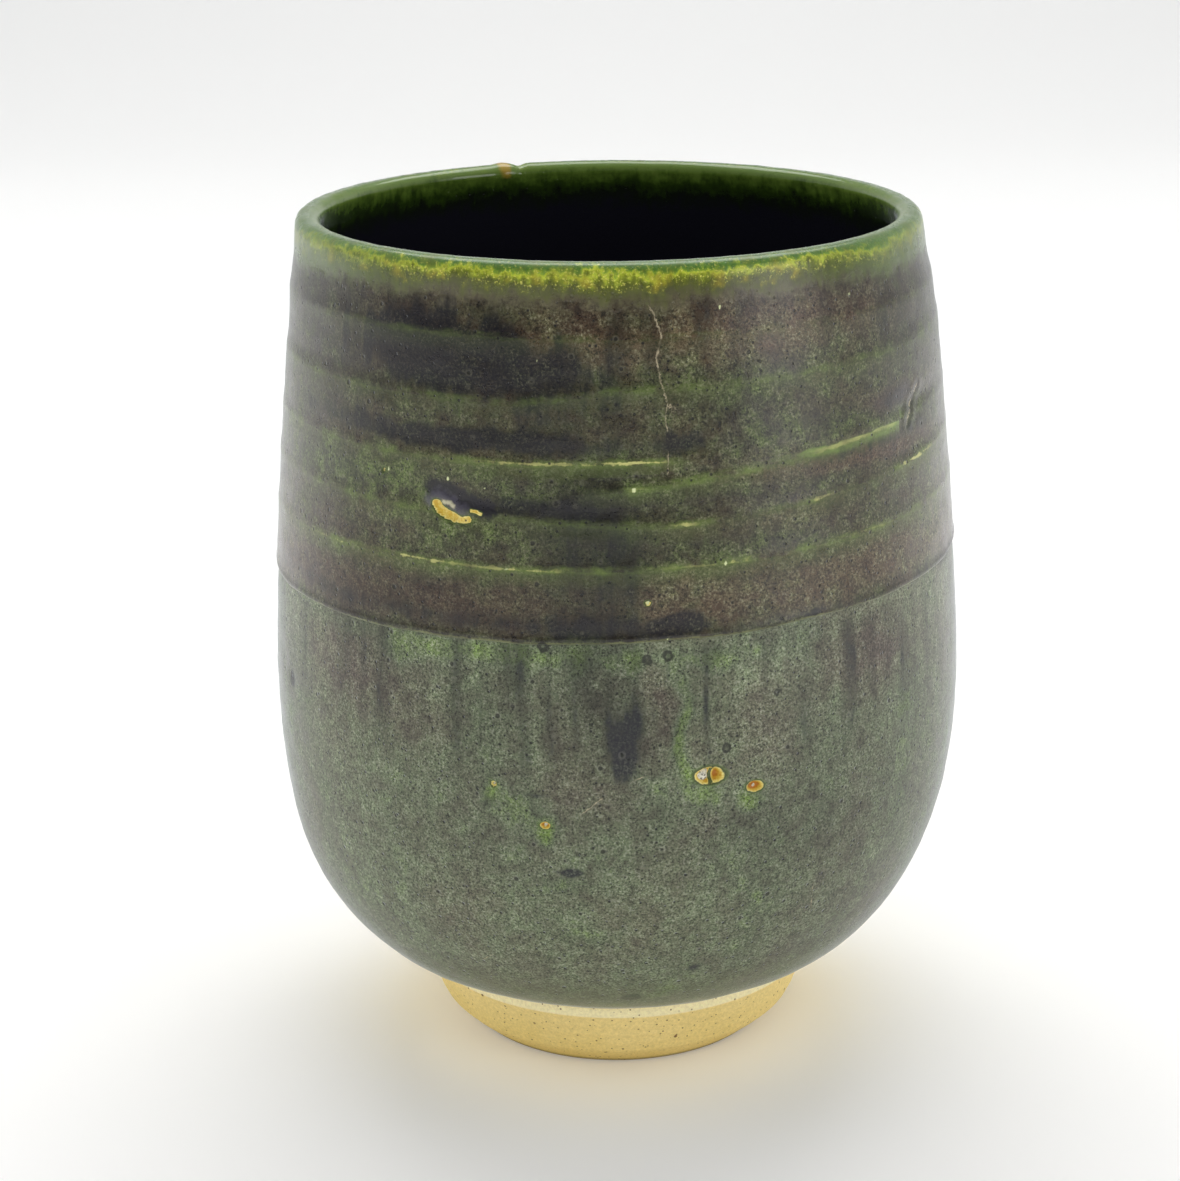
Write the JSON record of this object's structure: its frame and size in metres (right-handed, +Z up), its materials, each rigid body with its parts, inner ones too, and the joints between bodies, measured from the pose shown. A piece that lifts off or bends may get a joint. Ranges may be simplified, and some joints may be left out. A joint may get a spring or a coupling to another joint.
{
  "type": "tea cup",
  "caption": "Tall handleless stoneware tea cup with a rounded belly, a narrow bare foot ring, mottled green-brown glaze and a near-black glazed inside.",
  "frame": {"origin": "centre of the foot's standing face", "axes": "+Z up along the cup's axis, out of the mouth; -Y towards the viewer of the picture, +X to the viewer's right"},
  "size_m": [0.08, 0.08, 0.0976],
  "materials": {
    "bare_stoneware": "bare fired clay with dark specks, matte",
    "first_coat": "grey-green ash glaze, satin, with fine crystals and pinholes",
    "second_coat": "mottled brown, black and green glaze, satin gloss",
    "rim_coat": "thin runny glaze over the lip, glossy, pale green to ochre",
    "lining": "near-black glaze, glossy",
    "stone_grain": "pale feldspar grain, rough"
  },
  "bodies": {
    "root": {"clay_body": "bare_stoneware", "foot_ring": "bare_stoneware", "base_glaze": "first_coat", "upper_glaze": "second_coat", "rim_glaze": "rim_coat", "inner_glaze": "lining", "burst_stones": "stone_grain"}
  },
  "joints": []
}
